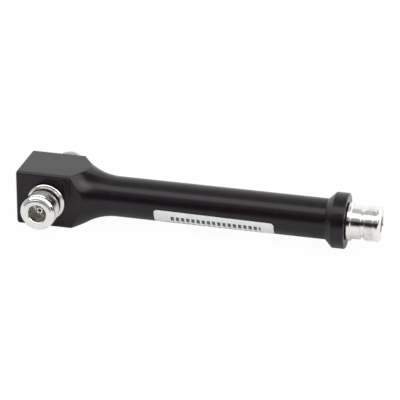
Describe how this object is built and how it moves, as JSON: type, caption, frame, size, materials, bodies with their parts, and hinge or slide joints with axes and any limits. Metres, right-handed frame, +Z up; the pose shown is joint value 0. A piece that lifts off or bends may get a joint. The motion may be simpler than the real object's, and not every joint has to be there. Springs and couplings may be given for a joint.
{
  "type": "rf power splitter",
  "caption": "Square block with threaded coaxial jacks on opposite sides, sweeping into a long round tube with a flanged end that carries another jack.",
  "frame": {"origin": "middle of the whole part's footprint, on the surface that it lies on", "axes": "+X along the tube towards the input jack; the output jacks face -Y and +Y; +Z up from the block's flat underside"},
  "size_m": [0.1634, 0.0558, 0.0254],
  "materials": {
    "black_coat": "satin black coating on aluminium",
    "nickel_plate": "bright nickel plate on turned brass",
    "gold_plate": "thin gold plate on turned bronze",
    "silver_plate": "silver plate on turned brass",
    "white_insulator": "turned white fluoroplastic",
    "black_rubber": "matte black rubber",
    "label_face": "matte light grey label film"
  },
  "bodies": {
    "root": {"housing": "black_coat", "inner_conductor": "silver_plate", "support_bead": "white_insulator", "label": "label_face", "input_jack_shell": "nickel_plate", "input_gasket": "black_rubber", "input_insulator": "white_insulator", "input_bush": "nickel_plate", "input_contact": "gold_plate", "output_front_jack_shell": "nickel_plate", "output_front_gasket": "black_rubber", "output_front_insulator": "white_insulator", "output_front_bush": "nickel_plate", "output_front_contact": "gold_plate", "output_rear_jack_shell": "nickel_plate", "output_rear_gasket": "black_rubber", "output_rear_insulator": "white_insulator", "output_rear_bush": "nickel_plate", "output_rear_contact": "gold_plate"}
  },
  "joints": []
}
